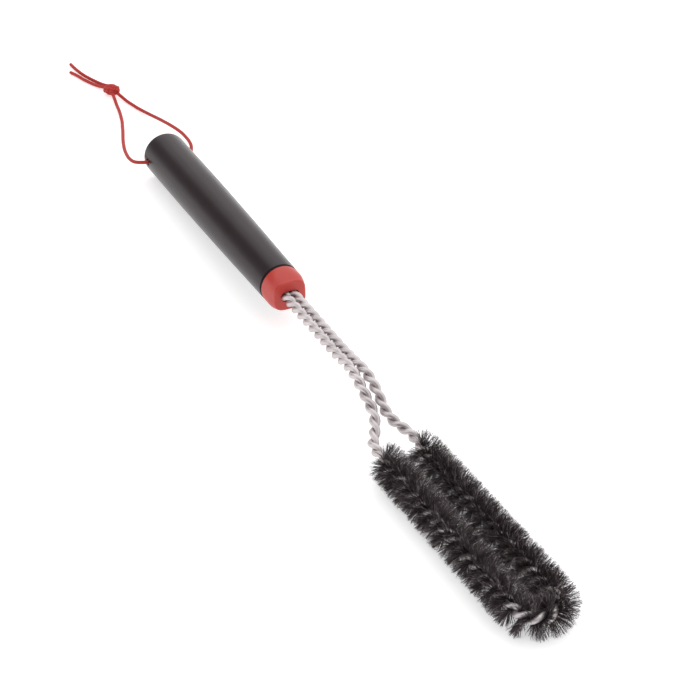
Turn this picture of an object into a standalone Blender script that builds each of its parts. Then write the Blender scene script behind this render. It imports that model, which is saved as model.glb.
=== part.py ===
"""Grill cleaning brush: a hollow handle with a red collar, a two-wire twisted rope bent into a
hairpin, bristles along the hairpin, and a hanging cord knotted through the butt of the handle.

World frame: metres, +Z up. X runs from the butt (-X) to the tip of the bristles (+X), the brush
lies on the plane Z = 0, and the origin is the middle of its footprint, cord left out.
"""

import math

import bmesh
import bpy
from mathutils import Matrix, Vector

MM = 0.001

# Driving dimensions, millimetres.
OVERALL_LENGTH = 457.0
HANDLE_LENGTH = 172.0
HANDLE_PROFILE = ((0.0, 13.4), (64.0, 13.25), (118.0, 12.6), (172.0, 11.6))
BUTT_EDGE = 2.2
BUTT_WALL = 3.0
HANDLE_WALL = 2.0
RISE_DEGREES = 2.3
HOLE_FROM_BUTT = 7.0
HOLE_RADIUS = 2.3
GAP = 0.3

FLANGE_RADIUS = 11.35
FLANGE_THICKNESS = 1.1
CORE_LENGTH = 34.0
CORE_RADIUS = 9.2
COLLAR_LENGTH = 12.3
COLLAR_BACK_RADIUS = 11.6
COLLAR_FRONT_HALF_WIDTH = 9.3
COLLAR_FRONT_HALF_HEIGHT = 8.6
COLLAR_FRONT_SQUARENESS = 3.4
COLLAR_FRONT_EDGE = 1.1
COLLAR_BACK_CHAMFER = 0.25
COLLAR_TAPER_POWER = 1.35
COLLAR_SIDES = 40
SLOT_HALF_HEIGHT = 2.95

WIRE_COUNT = 2
WIRE_RADIUS = 1.26
TWIST_RADIUS = 1.42
TWIST_PITCH = 13.95
TWIST_START_DEGREES = 62.0
POINTS_PER_TURN = 10
ROPE_SPACING = 5.2
CRIMP_LENGTH = 7.0
CRIMP_WALL = 0.9
CRIMP_CLEARANCE = 0.15

ARM_OFFSET = 10.1
ARM_HEIGHT = 10.0
BRISTLE_RADIUS = 9.95
BRISTLE_START = 318.0
BRISTLE_BORE = 3.5

# The head is bent a little to the right about a point on the mid-plane, and the bend fades out
# over the end of the neck.
HEAD_YAW_DEGREES = 2.3
HEAD_PIVOT = 355.0
HEAD_BEND_START = 290.0
HEAD_BEND_END = 315.0

CORD_RADIUS = 1.1
KNOT_CENTRE = (-109.5, 5.0, 3.3)
KNOT_RADII = (5.2, 3.5, 3.1)
KNOT_TURN_DEGREES = 45.0

# Where the stem leaves its straight run, dips to the height of the head and spreads into two
# arms: distance from the butt, distance from the mid-plane, height.
NECK_ROUTE = (
    (262.0, 2.6, 24.9),
    (269.0, 2.95, 25.1),
    (276.5, 3.25, 23.4),
    (284.0, 3.3, 20.2),
    (292.0, 3.2, 16.0),
    (300.0, 5.8, 13.0),
    (308.0, 10.1, 11.0),
    (317.0, 10.4, 10.4),
    (328.0, 10.2, 10.1),
)

# The cord's way, from the middle of the cross hole out to the knot, and its tails beyond the
# knot: distance from the butt, sideways, height.
LEFT_CORD_ROUTE = (
    (7.9, -0.15, 13.8),
    (7.9, -7.0, 13.8),
    (7.9, -13.0, 13.8),
    (7.2, -15.3, 13.8),
    (4.8, -18.0, 13.2),
    (2.1, -19.3, 12.4),
    (-1.7, -20.0, 11.5),
    (-7.9, -19.9, 10.3),
    (-15.7, -18.7, 8.8),
    (-24.0, -16.9, 7.4),
    (-32.6, -14.5, 6.0),
    (-42.0, -11.5, 4.8),
    (-51.0, -8.3, 3.8),
    (-59.8, -5.4, 3.0),
    (-67.3, -3.0, 2.4),
    (-75.0, -1.0, 1.8),
    (-82.5, 0.7, 1.4),
    (-89.7, 1.9, 1.3),
    (-95.6, 2.8, 1.9),
    (-100.9, 3.6, 2.7),
    (-105.2, 4.0, 3.1),
)
RIGHT_CORD_ROUTE = (
    (7.9, 0.15, 13.8),
    (7.9, 7.0, 13.8),
    (7.9, 11.4, 13.8),
    (7.4, 13.6, 13.7),
    (5.9, 15.3, 13.4),
    (3.4, 16.6, 13.3),
    (0.2, 17.8, 13.3),
    (-3.8, 18.8, 13.0),
    (-9.9, 19.7, 12.3),
    (-16.1, 20.1, 11.6),
    (-21.6, 20.3, 10.9),
    (-29.4, 20.0, 9.8),
    (-37.0, 19.6, 8.4),
    (-44.5, 19.0, 7.0),
    (-51.3, 18.3, 5.7),
    (-58.3, 17.4, 4.4),
    (-64.5, 16.4, 3.3),
    (-70.6, 15.3, 2.4),
    (-76.9, 14.1, 1.6),
    (-82.5, 12.8, 1.2),
    (-88.0, 11.4, 1.2),
    (-93.7, 10.0, 1.3),
    (-99.1, 8.7, 1.9),
    (-104.4, 7.4, 2.8),
)
LEFT_TAIL_ROUTE = (
    (-114.7, 3.3, 2.8),
    (-119.5, 1.2, 1.8),
    (-125.5, -1.4, 1.2),
    (-134.5, -5.0, 1.2),
    (-142.7, -7.4, 1.2),
    (-148.9, -9.8, 1.2),
)
RIGHT_TAIL_ROUTE = (
    (-113.8, 6.5, 3.2),
    (-116.6, 5.6, 2.8),
    (-121.0, 3.7, 1.9),
    (-128.6, 1.1, 1.25),
    (-140.0, -2.8, 1.2),
    (-150.3, -4.8, 1.2),
    (-160.2, -5.8, 1.2),
)
CORD_POINT_SPACING = 5.0

HALF_LENGTH = OVERALL_LENGTH / 2
TIP_CENTRE = OVERALL_LENGTH - ARM_OFFSET - BRISTLE_RADIUS
RISE = math.radians(RISE_DEGREES)
HEAD_YAW = math.radians(HEAD_YAW_DEGREES)
WIRE_START = HANDLE_LENGTH - CORE_LENGTH - CRIMP_LENGTH - 5.0

COLOURS = {
    "handle": ((0.075, 0.068, 0.068, 1.0), 0.45, 0.0),
    "core": ((0.012, 0.011, 0.012, 1.0), 0.5, 0.0),
    "collar": ((0.56, 0.055, 0.045, 1.0), 0.5, 0.0),
    "wire": ((0.55, 0.52, 0.51, 1.0), 0.38, 1.0),
    "crimp": ((0.6, 0.6, 0.6, 1.0), 0.35, 1.0),
    "bristle": ((0.02, 0.018, 0.018, 1.0), 0.6, 0.0),
    "cord": ((0.55, 0.05, 0.04, 1.0), 0.85, 0.0),
}


def clear_scene():
    for obj in list(bpy.data.objects):
        bpy.data.objects.remove(obj, do_unlink=True)


def new_collection(name):
    collection = bpy.data.collections.new(name)
    bpy.context.scene.collection.children.link(collection)
    return collection


def material(name):
    found = bpy.data.materials.get(name)
    if found:
        return found
    colour, roughness, metallic = COLOURS[name]
    made = bpy.data.materials.new(name)
    made.use_nodes = True
    shader = made.node_tree.nodes["Principled BSDF"]
    shader.inputs["Base Color"].default_value = colour
    shader.inputs["Roughness"].default_value = roughness
    shader.inputs["Metallic"].default_value = metallic
    return made


def place(name, data, collection, slot=None):
    obj = bpy.data.objects.new(name, data)
    collection.objects.link(obj)
    if slot:
        data.materials.append(material(slot))
    return obj


def world(from_butt, sideways, height):
    """A world position in metres from millimetres measured from the butt."""
    return Vector(((from_butt - HALF_LENGTH) * MM, sideways * MM, height * MM))


def radius_at(distance):
    """The handle's outer radius, straight between the stations of its profile."""
    for (start, first), (end, last) in zip(HANDLE_PROFILE, HANDLE_PROFILE[1:]):
        if distance <= end:
            return first + (last - first) * (distance - start) / (end - start)
    return HANDLE_PROFILE[-1][1]


def butt_height():
    """The height of the butt's centre that lets the raised handle just touch the ground."""
    return radius_at(BUTT_EDGE) * math.cos(RISE) - BUTT_EDGE * math.sin(RISE)


def butt_set_forward():
    """How far the butt's centre sits ahead of the rearmost point of its leaning face."""
    return (radius_at(BUTT_EDGE) - BUTT_EDGE) * math.sin(RISE)


def handle_axis(collection):
    """An empty at the butt's centre whose local Z runs forward along the rising handle."""
    empty = bpy.data.objects.new("handle_axis", None)
    collection.objects.link(empty)
    empty.location = world(butt_set_forward(), 0.0, butt_height())
    empty.rotation_euler = (0.0, math.pi / 2 - RISE, 0.0)
    return empty


def on_axis(obj, axis, distance=0.0):
    obj.parent = axis
    obj.location = (0.0, 0.0, distance * MM)


def screw(obj, steps=40):
    modifier = obj.modifiers.new("turn", "SCREW")
    modifier.axis = "Z"
    modifier.angle = 2 * math.pi
    modifier.steps = steps
    modifier.render_steps = steps
    modifier.use_merge_vertices = True
    modifier.merge_threshold = 0.00001
    modifier.use_normal_calculate = False


def turned(name, outline, collection, slot=None, steps=40):
    """A turned solid. The outline lists (radius, height) in millimetres, top to bottom outside."""
    mesh = bpy.data.meshes.new(name)
    build = bmesh.new()
    points = [build.verts.new((radius * MM, 0.0, height * MM)) for radius, height in outline]
    for first, second in zip(points, points[1:]):
        if first.co.x > 0.0 or second.co.x > 0.0:
            build.edges.new((first, second))
    bmesh.ops.remove_doubles(build, verts=build.verts, dist=0.000001)
    build.to_mesh(mesh)
    build.free()
    obj = place(name, mesh, collection, slot)
    screw(obj, steps)
    return obj


def as_mesh(obj, collection):
    """Replaces a curve object with the mesh it evaluates to, its caps welded."""
    bpy.context.view_layer.update()
    graph = bpy.context.evaluated_depsgraph_get()
    mesh = bpy.data.meshes.new_from_object(obj.evaluated_get(graph))
    build = bmesh.new()
    build.from_mesh(mesh)
    bmesh.ops.remove_doubles(build, verts=build.verts, dist=0.000001)
    bmesh.ops.recalc_face_normals(build, faces=build.faces)
    build.to_mesh(mesh)
    build.free()
    name = obj.name
    matrix = obj.matrix_world.copy()
    bpy.data.objects.remove(obj, do_unlink=True)
    made = place(name, mesh, collection)
    made.matrix_world = matrix
    return made


def obround(name, spacing, radius, length, collection):
    """A bar of length along Z whose section is two half circles, spacing apart along Y."""
    curve = bpy.data.curves.new(name, "CURVE")
    curve.dimensions = "2D"
    curve.fill_mode = "BOTH"
    curve.extrude = length / 2 * MM
    spline = curve.splines.new("POLY")
    ends = 13
    spline.points.add(2 * ends - 1)
    for index, point in enumerate(spline.points):
        side = 1 if index < ends else -1
        turn = math.pi * (index % ends) / (ends - 1) + (0.0 if side > 0 else math.pi)
        x = radius * math.cos(turn)
        y = radius * math.sin(turn) + side * spacing / 2
        point.co = (x * MM, y * MM, 0.0, 1.0)
    spline.use_cyclic_u = True
    return as_mesh(place(name, curve, collection), collection)


def cut(obj, cutter):
    cutter.hide_render = True
    cutter.display_type = "WIRE"
    modifier = obj.modifiers.new("cut " + cutter.name, "BOOLEAN")
    modifier.operation = "DIFFERENCE"
    modifier.object = cutter
    modifier.solver = "EXACT"


def primitive_cylinder(name, radius, length, collection, slot=None, sides=24):
    mesh = bpy.data.meshes.new(name)
    build = bmesh.new()
    bmesh.ops.create_cone(
        build, cap_ends=True, segments=sides, radius1=radius * MM, radius2=radius * MM,
        depth=length * MM
    )
    build.to_mesh(mesh)
    build.free()
    return place(name, mesh, collection, slot)


def primitive_box(name, size, collection):
    mesh = bpy.data.meshes.new(name)
    build = bmesh.new()
    bmesh.ops.create_cube(build, size=1.0)
    bmesh.ops.scale(build, vec=[side * MM for side in size], verts=build.verts)
    build.to_mesh(mesh)
    build.free()
    return place(name, mesh, collection)


def catmull_rom(route, spacing):
    """Points a spacing apart, in millimetres, on a smooth curve through every point of a route."""
    route = [Vector(point) for point in route]
    ends = [2 * route[0] - route[1]] + route + [2 * route[-1] - route[-2]]
    fine = []
    for p0, p1, p2, p3 in zip(ends, ends[1:], ends[2:], ends[3:]):
        for step in range(20):
            t = step / 20
            fine.append(
                0.5 * (2 * p1 + (p2 - p0) * t + (2 * p0 - 5 * p1 + 4 * p2 - p3) * t**2
                       + (3 * p1 - p0 - 3 * p2 + p3) * t**3)
            )
    fine.append(route[-1])
    return even_points(fine, spacing)


def even_points(fine, spacing):
    """The same polyline read again at even distances, its two ends kept."""
    lengths = [0.0]
    for first, second in zip(fine, fine[1:]):
        lengths.append(lengths[-1] + (second - first).length)
    count = max(2, round(lengths[-1] / spacing) + 1)
    points = []
    index = 0
    for step in range(count):
        wanted = lengths[-1] * step / (count - 1)
        while index < len(fine) - 2 and lengths[index + 1] < wanted:
            index += 1
        run = lengths[index + 1] - lengths[index]
        points.append(fine[index].lerp(fine[index + 1], (wanted - lengths[index]) / run))
    return points


def poly_tube(name, points, radius, collection, slot):
    curve = bpy.data.curves.new(name, "CURVE")
    curve.dimensions = "3D"
    curve.bevel_depth = radius * MM
    curve.bevel_resolution = 2
    curve.use_fill_caps = True
    curve.twist_mode = "MINIMUM"
    spline = curve.splines.new("POLY")
    spline.points.add(len(points) - 1)
    for point, place_mm in zip(spline.points, points):
        point.co = (*world(*place_mm), 1.0)
    return place(name, curve, collection, slot)


def axis_point(distance, sideways=0.0):
    """A point beside the handle's rising axis, in millimetres from the butt."""
    forward = butt_set_forward() + distance * math.cos(RISE)
    return (forward, sideways, butt_height() + distance * math.sin(RISE))


def in_head(from_butt, sideways, height):
    """Where the head's bend takes a point of the straight brush."""
    share = (from_butt - HEAD_BEND_START) / (HEAD_BEND_END - HEAD_BEND_START)
    yaw = HEAD_YAW * min(max(share, 0.0), 1.0)
    ahead = from_butt - HEAD_PIVOT
    return (
        HEAD_PIVOT + ahead * math.cos(yaw) - sideways * math.sin(yaw),
        ahead * math.sin(yaw) + sideways * math.cos(yaw),
        height,
    )


def rope_centre_line(spacing):
    """The rope's centre line: out along the left arm, round the hairpin and back on the right."""
    step = 10.0
    straight = int((NECK_ROUTE[0][0] - WIRE_START) / step)
    half = [axis_point(WIRE_START + index * step, ROPE_SPACING / 2) for index in range(straight)]
    half += NECK_ROUTE
    start = NECK_ROUTE[-1][0]
    steps = int((TIP_CENTRE - start) / step)
    for index in range(1, steps + 1):
        half.append((start + (TIP_CENTRE - start) * index / steps, ARM_OFFSET, ARM_HEIGHT))
    bend = [
        (TIP_CENTRE + ARM_OFFSET * math.cos(turn), ARM_OFFSET * math.sin(turn), ARM_HEIGHT)
        for turn in (math.radians(angle) for angle in range(-70, 90, 20))
    ]
    straight_brush = [(x, -y, z) for x, y, z in half] + bend + half[::-1]
    return catmull_rom([in_head(*point) for point in straight_brush], spacing)


def wire_points(centre_line, start_turn):
    """One wire: a left-handed helix about the rope's evenly spaced centre line."""
    spacing = (centre_line[1] - centre_line[0]).length
    points = []
    for index, centre in enumerate(centre_line):
        before = centre_line[max(index - 1, 0)]
        after = centre_line[min(index + 1, len(centre_line) - 1)]
        forward = (after - before).normalized()
        side = forward.cross(Vector((0.0, 0.0, 1.0))).normalized()
        up = side.cross(forward)
        turn = start_turn + 2 * math.pi * index * spacing / TWIST_PITCH
        points.append(centre + TWIST_RADIUS * (math.cos(turn) * side + math.sin(turn) * up))
    return points


def make_handle_shell(parts, cutters, axis):
    """The hollow handle, open towards the collar, with the cord's hole across its butt."""
    length = HANDLE_LENGTH
    stations = [distance for distance, _ in HANDLE_PROFILE[1:-1]]
    outline = [(radius_at(length) - HANDLE_WALL, length), (radius_at(length), length)]
    outline += [(radius_at(distance), distance) for distance in reversed(stations)]
    centre = radius_at(BUTT_EDGE) - BUTT_EDGE
    for step in range(6):
        turn = math.pi / 2 * step / 5
        outline.append((centre + BUTT_EDGE * math.cos(turn), BUTT_EDGE - BUTT_EDGE * math.sin(turn)))
    outline.append((0.0, 0.0))
    inside = [(0.0, BUTT_WALL)]
    inside += [(radius_at(distance) - HANDLE_WALL, distance) for distance in [BUTT_WALL] + stations]
    inside.append(outline[0])
    shell = turned("handle_shell", outline + inside, parts, "handle")
    on_axis(shell, axis)
    hole = primitive_cylinder("cord_hole_cutter", HOLE_RADIUS, 40.0, cutters, sides=20)
    hole.parent = axis
    hole.location = (0.0, 0.0, HOLE_FROM_BUTT * MM)
    hole.rotation_euler = (math.pi / 2, 0.0, 0.0)
    cut(shell, hole)


def make_core(parts, cutters, axis):
    """The plug that holds the rope ends. Its thin flange shows between handle and collar."""
    front = HANDLE_LENGTH + GAP + FLANGE_THICKNESS
    back = HANDLE_LENGTH - CORE_LENGTH
    outline = [
        (0.0, front),
        (FLANGE_RADIUS, front),
        (FLANGE_RADIUS, HANDLE_LENGTH + GAP),
        (CORE_RADIUS, HANDLE_LENGTH + GAP),
        (CORE_RADIUS, back + 1.5),
        (CORE_RADIUS - 1.5, back),
        (0.0, back),
    ]
    core = turned("stem_core", outline, parts, "core", steps=32)
    on_axis(core, axis)
    slot = obround("core_slot_cutter", ROPE_SPACING, SLOT_HALF_HEIGHT, 2 * CORE_LENGTH, cutters)
    on_axis(slot, axis, HANDLE_LENGTH - CORE_LENGTH / 2)
    cut(core, slot)


def collar_ring(build, half_width, half_height, squareness, height):
    """One loop of the collar: a superellipse whose long way is across the brush."""
    ring = []
    for step in range(COLLAR_SIDES):
        turn = 2 * math.pi * step / COLLAR_SIDES
        across = math.copysign(abs(math.sin(turn)) ** (2 / squareness), math.sin(turn))
        upward = math.copysign(abs(math.cos(turn)) ** (2 / squareness), math.cos(turn))
        ring.append(build.verts.new((-half_height * upward * MM, half_width * across * MM, height * MM)))
    return ring


def make_collar(parts, cutters, axis):
    """The red collar, lofted from the round flange to a squarer nose with a rounded rim."""
    mesh = bpy.data.meshes.new("collar")
    build = bmesh.new()
    back = HANDLE_LENGTH + FLANGE_THICKNESS + 2 * GAP
    chamfer = COLLAR_BACK_CHAMFER
    rings = [collar_ring(build, COLLAR_BACK_RADIUS - chamfer, COLLAR_BACK_RADIUS - chamfer, 2.0, back)]
    edge = COLLAR_FRONT_EDGE
    for step in range(6):
        share = step / 5
        ease = share * share * (3 - 2 * share)
        narrowed = share**COLLAR_TAPER_POWER
        width = COLLAR_BACK_RADIUS + (COLLAR_FRONT_HALF_WIDTH - COLLAR_BACK_RADIUS) * narrowed
        high = COLLAR_BACK_RADIUS + (COLLAR_FRONT_HALF_HEIGHT - COLLAR_BACK_RADIUS) * narrowed
        square = 2.0 + (COLLAR_FRONT_SQUARENESS - 2.0) * ease
        height = back + chamfer + (COLLAR_LENGTH - edge - chamfer) * share
        rings.append(collar_ring(build, width, high, square, height))
    for step in range(1, 4):
        turn = math.pi / 2 * step / 3
        inset = edge * (1 - math.cos(turn))
        height = back + COLLAR_LENGTH - edge + edge * math.sin(turn)
        rings.append(
            collar_ring(build, COLLAR_FRONT_HALF_WIDTH - inset, COLLAR_FRONT_HALF_HEIGHT - inset,
                        COLLAR_FRONT_SQUARENESS, height)
        )
    for lower, upper in zip(rings, rings[1:]):
        for index in range(COLLAR_SIDES):
            following = (index + 1) % COLLAR_SIDES
            build.faces.new((lower[index], lower[following], upper[following], upper[index]))
    build.faces.new(list(reversed(rings[0])))
    build.faces.new(rings[-1])
    bmesh.ops.recalc_face_normals(build, faces=build.faces)
    build.to_mesh(mesh)
    build.free()
    collar = place("collar", mesh, parts, "collar")
    on_axis(collar, axis)
    wider = 0.15
    slot = obround("collar_slot_cutter", ROPE_SPACING + 2 * wider, SLOT_HALF_HEIGHT + wider,
                   2 * COLLAR_LENGTH, cutters)
    on_axis(slot, axis, back + COLLAR_LENGTH / 2)
    cut(collar, slot)


def make_crimp_band(parts, cutters, axis):
    """The pressed steel band behind the core that stops the rope from pulling out."""
    distance = HANDLE_LENGTH - CORE_LENGTH - GAP - CRIMP_LENGTH / 2
    radius = TWIST_RADIUS + WIRE_RADIUS + CRIMP_CLEARANCE
    band = obround("crimp_band", ROPE_SPACING, radius + CRIMP_WALL, CRIMP_LENGTH, parts)
    band.data.materials.append(material("crimp"))
    on_axis(band, axis, distance)
    bore = obround("crimp_bore_cutter", ROPE_SPACING, radius, 2 * CRIMP_LENGTH, cutters)
    on_axis(bore, axis, distance)
    cut(band, bore)


def make_wires(parts):
    """The rope: wires that each run from the handle, round the hairpin and back."""
    centre_line = rope_centre_line(TWIST_PITCH / POINTS_PER_TURN)
    for index in range(WIRE_COUNT):
        start_turn = math.radians(TWIST_START_DEGREES) + 2 * math.pi * index / WIRE_COUNT
        points = wire_points(centre_line, start_turn)
        poly_tube(f"stem_wire_{index + 1}", points, WIRE_RADIUS, parts, "wire")


def head_frame(collection):
    """An empty at the head's pivot, turned with the head. Its X runs along the arms."""
    empty = bpy.data.objects.new("head_frame", None)
    collection.objects.link(empty)
    empty.location = world(HEAD_PIVOT, 0.0, ARM_HEIGHT)
    empty.rotation_euler = (0.0, 0.0, HEAD_YAW)
    return empty


def in_frame(obj, frame, from_butt, sideways):
    obj.parent = frame
    obj.location = ((from_butt - HEAD_PIVOT) * MM, sideways * MM, 0.0)


def make_bristle_arm(name, side, parts, cutters, head):
    """The plain outer form of the bristles along one arm, bored for the rope."""
    length = TIP_CENTRE - BRISTLE_START - GAP
    middle = BRISTLE_START + length / 2
    arm = primitive_cylinder(name, BRISTLE_RADIUS, length, parts, "bristle")
    overshoot = 20.0
    bore = primitive_cylinder(name + "_bore_cutter", BRISTLE_BORE, length + overshoot, cutters, sides=16)
    for bar in (arm, bore):
        in_frame(bar, head, middle, side * ARM_OFFSET)
        bar.rotation_euler = (0.0, math.pi / 2, 0.0)
    cut(arm, bore)


def ring_outline(radius, sides):
    """A closed circle about the rope's distance from the mid-plane, outer side top to bottom."""
    turns = [math.pi / 2 - 2 * math.pi * step / sides for step in range(sides + 1)]
    return [(ARM_OFFSET + radius * math.cos(turn), radius * math.sin(turn)) for turn in turns]


def make_bristle_tip(parts, cutters, head):
    """The plain outer form of the bristles round the hairpin: half of a ring, bored for the rope."""
    tip = turned("bristles_tip", ring_outline(BRISTLE_RADIUS, 20), parts, "bristle", steps=36)
    in_frame(tip, head, TIP_CENTRE, 0.0)
    side = 60.0
    half = primitive_box("tip_half_cutter", (side, side, side), cutters)
    in_frame(half, head, TIP_CENTRE - side / 2, 0.0)
    cut(tip, half)
    bore = turned("tip_bore_cutter", ring_outline(BRISTLE_BORE, 12), cutters, steps=36)
    in_frame(bore, head, TIP_CENTRE, 0.0)
    cut(tip, bore)


def make_cord(parts):
    """The hanging cord: two sides of the loop, the knot, and two cut tails."""
    for name, route in (
        ("cord_left", LEFT_CORD_ROUTE),
        ("cord_right", RIGHT_CORD_ROUTE),
        ("cord_tail_left", LEFT_TAIL_ROUTE),
        ("cord_tail_right", RIGHT_TAIL_ROUTE),
    ):
        poly_tube(name, catmull_rom(route, CORD_POINT_SPACING), CORD_RADIUS, parts, "cord")
    mesh = bpy.data.meshes.new("cord_knot")
    build = bmesh.new()
    bmesh.ops.create_uvsphere(build, u_segments=20, v_segments=12, radius=MM)
    bmesh.ops.transform(build, matrix=Matrix.Diagonal((*KNOT_RADII, 1.0)), verts=build.verts)
    build.to_mesh(mesh)
    build.free()
    knot = place("cord_knot", mesh, parts, "cord")
    knot.location = world(*KNOT_CENTRE)
    knot.rotation_euler = (0.0, 0.0, math.radians(KNOT_TURN_DEGREES))


def shade(parts):
    """Round pieces are shaded smooth, with their real edges kept sharp."""
    for obj in parts.objects:
        if obj.type == "MESH" and obj.data.polygons:
            obj.data.shade_smooth()
            obj.data.set_sharp_from_angle(angle=math.radians(35))


def main():
    clear_scene()
    parts = new_collection("grill_brush")
    cutters = new_collection("cutters")
    axis = handle_axis(parts)
    make_handle_shell(parts, cutters, axis)
    make_core(parts, cutters, axis)
    make_collar(parts, cutters, axis)
    make_crimp_band(parts, cutters, axis)
    make_wires(parts)
    head = head_frame(parts)
    make_bristle_arm("bristles_left", -1, parts, cutters, head)
    make_bristle_arm("bristles_right", 1, parts, cutters, head)
    make_bristle_tip(parts, cutters, head)
    make_cord(parts)
    shade(parts)


main()
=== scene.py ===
"""Looks of the grill cleaning brush: smooth shells, twisted steel wires, single filaments of
bristle, a braided cord with its knot, and studio light on a pale floor."""

import math

import bmesh
import bpy
import numpy as np
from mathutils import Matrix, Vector

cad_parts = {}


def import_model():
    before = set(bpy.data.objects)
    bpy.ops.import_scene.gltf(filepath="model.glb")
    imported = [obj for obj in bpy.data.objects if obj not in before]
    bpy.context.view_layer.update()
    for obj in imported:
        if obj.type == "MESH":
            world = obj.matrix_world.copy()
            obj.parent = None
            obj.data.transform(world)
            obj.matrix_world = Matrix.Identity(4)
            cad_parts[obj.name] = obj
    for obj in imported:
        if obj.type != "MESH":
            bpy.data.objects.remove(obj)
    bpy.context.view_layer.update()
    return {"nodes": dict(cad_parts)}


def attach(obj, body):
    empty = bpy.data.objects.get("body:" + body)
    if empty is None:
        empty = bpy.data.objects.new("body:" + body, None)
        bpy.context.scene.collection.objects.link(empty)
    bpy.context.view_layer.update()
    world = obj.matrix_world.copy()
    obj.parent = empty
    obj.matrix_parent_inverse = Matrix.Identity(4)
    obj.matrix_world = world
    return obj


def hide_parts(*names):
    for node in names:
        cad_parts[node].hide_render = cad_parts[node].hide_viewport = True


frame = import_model()

MM = 0.001
BODY = "root"
SEED = 7
SHARP_ANGLE = math.radians(40)

# Sizes of the brush, in millimetres from the butt, across the brush and up from the floor.
OVERALL_LENGTH = 457.0
HANDLE_LENGTH = 172.0
HANDLE_PROFILE = ((0.0, 13.4), (64.0, 13.25), (118.0, 12.6), (172.0, 11.6))
HANDLE_STATION = 8
HANDLE_EASING = 12.0
HANDLE_WALL = 2.0
BUTT_EDGE = 2.2
BUTT_WALL = 3.0
RIM = 0.25
RISE = math.radians(2.3)
HOLE_FROM_BUTT = 7.0
HOLE_RADIUS = 2.3
HOLE_CUT = 20.0
GAP = 0.3
FLANGE_THICKNESS = 1.1
CORE_LENGTH = 34.0
CRIMP_LENGTH = 7.0

# The collar: round at the back, and a rounded square, given as a superellipse, at the nose.
COLLAR_LENGTH = 12.3
COLLAR_BACK_RADIUS = 11.6
COLLAR_FRONT_HALF_WIDTH = 9.3
COLLAR_FRONT_HALF_HEIGHT = 8.6
COLLAR_FRONT_SQUARENESS = 3.4
COLLAR_ROUNDNESS = 2.0
COLLAR_TAPER_POWER = 1.35
COLLAR_EDGE = 1.3
COLLAR_STATIONS = 14
COLLAR_EDGE_STEPS = 7
SLOT_SPACING = 4.8
SLOT_RADIUS = 3.0

# The rope of two wires. Its wires touch each other, so they are a little thicker here than the
# solids of the CAD model, which keep a gap.
WIRE_COUNT = 2
WIRE_RADIUS = 1.49
TWIST_RADIUS = 1.46
TWIST_PITCH = 13.95
TWIST_START = math.radians(62)
WIRE_SIDES = 18
RINGS_PER_TURN = 24
ROPE_SPACING = 4.75
ROPE_STEP = 10.0
HAIRPIN_STEP_DEGREES = 20
ARM_OFFSET = 10.1
ARM_HEIGHT = 10.0
BRISTLE_RADIUS = 9.95
BRISTLE_START = 318.0
TIP_CENTRE = OVERALL_LENGTH - ARM_OFFSET - BRISTLE_RADIUS
WIRE_STUB = 5.0
WIRE_START = HANDLE_LENGTH - CORE_LENGTH - CRIMP_LENGTH - WIRE_STUB
NECK_ROUTE = (
    (262.0, 2.4, 24.9),
    (269.0, 2.95, 25.1),
    (276.5, 3.25, 23.4),
    (284.0, 3.3, 20.2),
    (292.0, 3.2, 16.0),
    (300.0, 5.8, 13.0),
    (308.0, 10.1, 11.0),
    (317.0, 10.4, 10.4),
    (328.0, 10.2, 10.1),
)
HEAD_YAW = math.radians(2.3)
HEAD_PIVOT = 355.0
HEAD_BEND_START = 290.0
HEAD_BEND_END = 315.0

# The cord, from the middle of the cross hole to the cut end of each tail. The last rings of a cut
# end are a little narrower.
CORD_DIAMETER = 2.2
LEFT_CORD_ROUTE = (
    (7.9, -0.15, 13.8),
    (7.9, -7.0, 13.8),
    (7.9, -13.0, 13.8),
    (7.2, -15.3, 13.8),
    (4.8, -18.0, 13.2),
    (2.1, -19.3, 12.4),
    (-1.7, -20.0, 11.5),
    (-7.9, -19.9, 10.3),
    (-15.7, -18.7, 8.8),
    (-24.0, -16.9, 7.4),
    (-32.6, -14.5, 6.0),
    (-42.0, -11.5, 4.8),
    (-51.0, -8.3, 3.8),
    (-59.8, -5.4, 3.0),
    (-67.3, -3.0, 2.4),
    (-75.0, -1.0, 1.8),
    (-82.5, 0.7, 1.4),
    (-89.7, 1.9, 1.3),
    (-95.6, 2.8, 1.9),
    (-100.9, 3.6, 2.7),
    (-105.2, 4.0, 3.1),
    (-109.8, 4.1, 3.3),
    (-114.7, 3.3, 2.8),
    (-119.5, 1.2, 1.8),
    (-125.5, -1.4, 1.2),
    (-134.5, -5.0, 1.2),
    (-142.7, -7.4, 1.2),
    (-148.9, -9.8, 1.2),
)
RIGHT_CORD_ROUTE = (
    (7.9, 0.15, 13.8),
    (7.9, 7.0, 13.8),
    (7.9, 11.4, 13.8),
    (7.4, 13.6, 13.7),
    (5.9, 15.3, 13.4),
    (3.4, 16.6, 13.3),
    (0.2, 17.8, 13.3),
    (-3.8, 18.8, 13.0),
    (-9.9, 19.7, 12.3),
    (-16.1, 20.1, 11.6),
    (-21.6, 20.3, 10.9),
    (-29.4, 20.0, 9.8),
    (-37.0, 19.6, 8.4),
    (-44.5, 19.0, 7.0),
    (-51.3, 18.3, 5.7),
    (-58.3, 17.4, 4.4),
    (-64.5, 16.4, 3.3),
    (-70.6, 15.3, 2.4),
    (-76.9, 14.1, 1.6),
    (-82.5, 12.8, 1.2),
    (-88.0, 11.4, 1.2),
    (-93.7, 10.0, 1.3),
    (-99.1, 8.7, 1.9),
    (-104.4, 7.4, 2.8),
    (-109.3, 6.8, 3.3),
    (-113.8, 6.5, 3.2),
    (-116.6, 5.6, 2.8),
    (-121.0, 3.7, 1.9),
    (-128.6, 1.1, 1.25),
    (-140.0, -2.8, 1.2),
    (-150.3, -4.8, 1.2),
    (-160.2, -5.8, 1.2),
)
BRAID_PITCH = 2.6
BRAID_STRANDS = 4
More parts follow.
